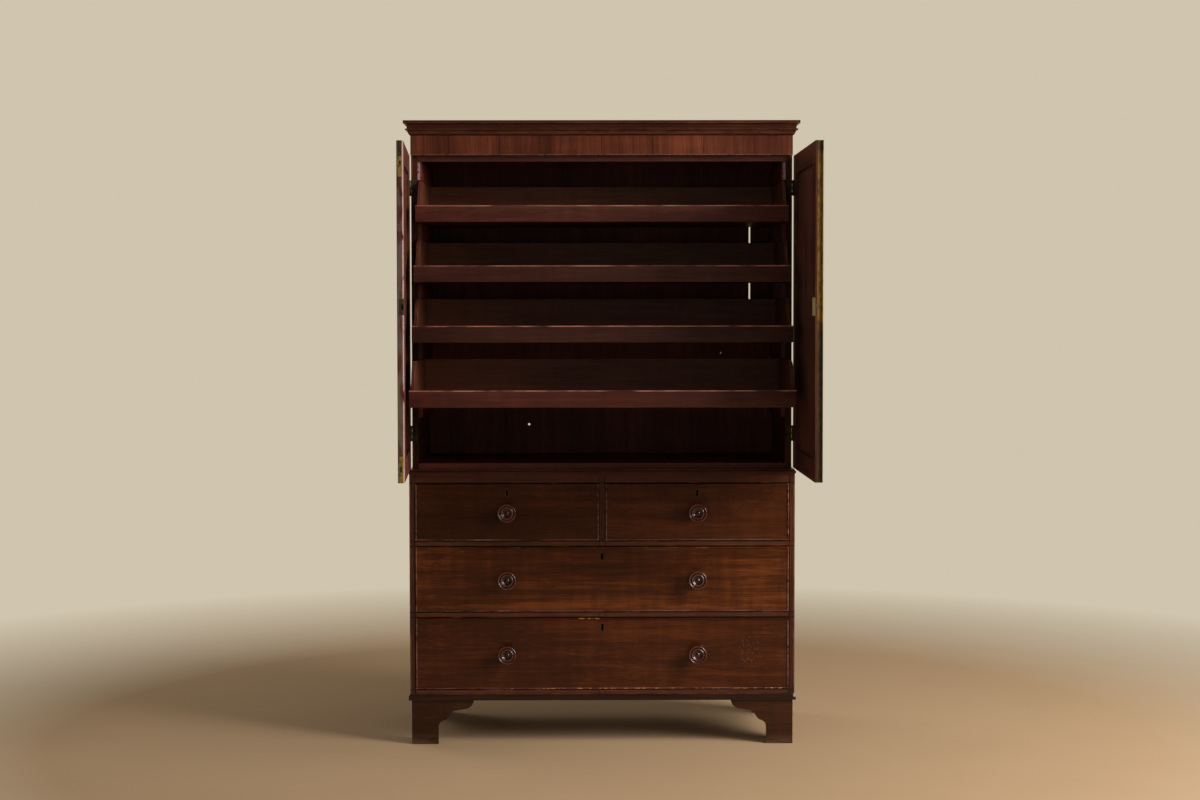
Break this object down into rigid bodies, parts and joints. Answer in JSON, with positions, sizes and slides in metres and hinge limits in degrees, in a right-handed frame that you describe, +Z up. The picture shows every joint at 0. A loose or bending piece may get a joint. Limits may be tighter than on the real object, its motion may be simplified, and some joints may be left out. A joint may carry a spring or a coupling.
{
  "type": "linen press",
  "caption": "Two-stage mahogany linen press: cupboard with hinged panelled doors and sliding linen trays on a chest of drawers with turned knobs and bracket feet.",
  "frame": {"origin": "on the floor, in the middle of the chest's width and depth", "axes": "+X to the right as seen from the front, +Y to the back, +Z up"},
  "size_m": [1.2761, 1.1243, 2],
  "materials": {
    "mahogany": "french polished, worn",
    "inner_mahogany": "waxed, dull",
    "pine": "unfinished, aged",
    "oak": "unfinished, aged",
    "brass": "tarnished",
    "steel": "dull"
  },
  "bodies": {
    "case": {"chest_side_left": "mahogany", "chest_side_right": "mahogany", "chest_top_board": "pine", "chest_bottom_board": "pine", "chest_back_boards": "pine", "drawer_rails": "mahogany", "drawer_runners": "pine", "dust_boards": "pine", "waist_moulding": "mahogany", "base_moulding": "mahogany", "feet_front": "mahogany", "feet_back": "mahogany", "foot_blocks": "pine", "cupboard_side_left": "mahogany", "cupboard_side_right": "mahogany", "cupboard_bottom": "inner_mahogany", "cupboard_lid": "pine", "cupboard_rail": "mahogany", "frieze": "mahogany", "cornice_moulding": "mahogany", "cupboard_back_frame": "inner_mahogany", "cupboard_back_panels": "inner_mahogany", "tray_runners": "inner_mahogany", "case_hinges": "brass"},
    "left_door": {"left_door_frame": "mahogany", "left_door_panel": "mahogany", "left_door_hinges": "brass", "left_door_plates": "brass"},
    "flush_bolt_top": {"flush_bolt_top": "steel"},
    "flush_bolt_foot": {"flush_bolt_foot": "steel"},
    "right_door": {"right_door_frame": "mahogany", "right_door_panel": "mahogany", "right_door_hinges": "brass", "astragal": "brass", "right_door_lock": "brass"},
    "right_door_lock_bolt": {"right_door_lock_bolt": "steel"},
    "tray_1": {"tray_1": "inner_mahogany"},
    "tray_2": {"tray_2": "inner_mahogany"},
    "tray_3": {"tray_3": "inner_mahogany"},
    "tray_4": {"tray_4": "inner_mahogany"},
    "short_drawer_left": {"short_drawer_left_front": "mahogany", "short_drawer_left_box": "oak", "short_drawer_left_knobs": "mahogany", "short_drawer_left_lock": "brass"},
    "short_drawer_left_lock_bolt": {"short_drawer_left_lock_bolt": "steel"},
    "short_drawer_right": {"short_drawer_right_front": "mahogany", "short_drawer_right_box": "oak", "short_drawer_right_knobs": "mahogany", "short_drawer_right_lock": "brass"},
    "short_drawer_right_lock_bolt": {"short_drawer_right_lock_bolt": "steel"},
    "middle_drawer": {"middle_drawer_front": "mahogany", "middle_drawer_box": "oak", "middle_drawer_knobs": "mahogany", "middle_drawer_lock": "brass"},
    "middle_drawer_lock_bolt": {"middle_drawer_lock_bolt": "steel"},
    "bottom_drawer": {"bottom_drawer_front": "mahogany", "bottom_drawer_box": "oak", "bottom_drawer_knobs": "mahogany", "bottom_drawer_lock": "brass"},
    "bottom_drawer_lock_bolt": {"bottom_drawer_lock_bolt": "steel"}
  },
  "joints": [
    {"name": "left_door_hinge", "type": "hinge", "parent": "case", "child": "left_door", "pos_m": [-0.6145, -0.233, 1.3895], "axis": [0, 0, -1], "range_deg": [-0.5, 88]},
    {"name": "right_door_hinge", "type": "hinge", "parent": "case", "child": "right_door", "pos_m": [0.6145, -0.233, 1.3895], "axis": [0, 0, 1], "range_deg": [-3.8, 84.5]},
    {"name": "flush_bolt_top_slide", "type": "slide", "parent": "left_door", "child": "flush_bolt_top", "axis": [0, 0, 1], "range_m": [0, 0.012]},
    {"name": "flush_bolt_foot_slide", "type": "slide", "parent": "left_door", "child": "flush_bolt_foot", "axis": [0, 0, -1], "range_m": [0, 0.012]},
    {"name": "right_door_lock_bolt_slide", "type": "slide", "parent": "right_door", "child": "right_door_lock_bolt", "axis": [0.007, -1, 0], "range_m": [0, 0.009]},
    {"name": "tray_1_slide", "type": "slide", "parent": "case", "child": "tray_1", "axis": [0, -1, 0], "range_m": [-0.144, 0.287]},
    {"name": "tray_2_slide", "type": "slide", "parent": "case", "child": "tray_2", "axis": [0, -1, 0], "range_m": [-0.217, 0.214]},
    {"name": "tray_3_slide", "type": "slide", "parent": "case", "child": "tray_3", "axis": [0, -1, 0], "range_m": [-0.287, 0.144]},
    {"name": "tray_4_slide", "type": "slide", "parent": "case", "child": "tray_4", "axis": [0, -1, 0], "range_m": [-0.404, 0.027]},
    {"name": "short_drawer_left_slide", "type": "slide", "parent": "case", "child": "short_drawer_left", "axis": [0, -1, 0], "range_m": [0, 0.38]},
    {"name": "short_drawer_left_lock_bolt_slide", "type": "slide", "parent": "short_drawer_left", "child": "short_drawer_left_lock_bolt", "axis": [0, 0, 1], "range_m": [0, 0.008]},
    {"name": "short_drawer_right_slide", "type": "slide", "parent": "case", "child": "short_drawer_right", "axis": [0, -1, 0], "range_m": [0, 0.38]},
    {"name": "short_drawer_right_lock_bolt_slide", "type": "slide", "parent": "short_drawer_right", "child": "short_drawer_right_lock_bolt", "axis": [0, 0, 1], "range_m": [0, 0.008]},
    {"name": "middle_drawer_slide", "type": "slide", "parent": "case", "child": "middle_drawer", "axis": [0, -1, 0], "range_m": [0, 0.38]},
    {"name": "middle_drawer_lock_bolt_slide", "type": "slide", "parent": "middle_drawer", "child": "middle_drawer_lock_bolt", "axis": [0, 0, 1], "range_m": [0, 0.008]},
    {"name": "bottom_drawer_slide", "type": "slide", "parent": "case", "child": "bottom_drawer", "axis": [0, -1, 0], "range_m": [0, 0.38]},
    {"name": "bottom_drawer_lock_bolt_slide", "type": "slide", "parent": "bottom_drawer", "child": "bottom_drawer_lock_bolt", "axis": [0, 0, 1], "range_m": [0, 0.008]}
  ]
}
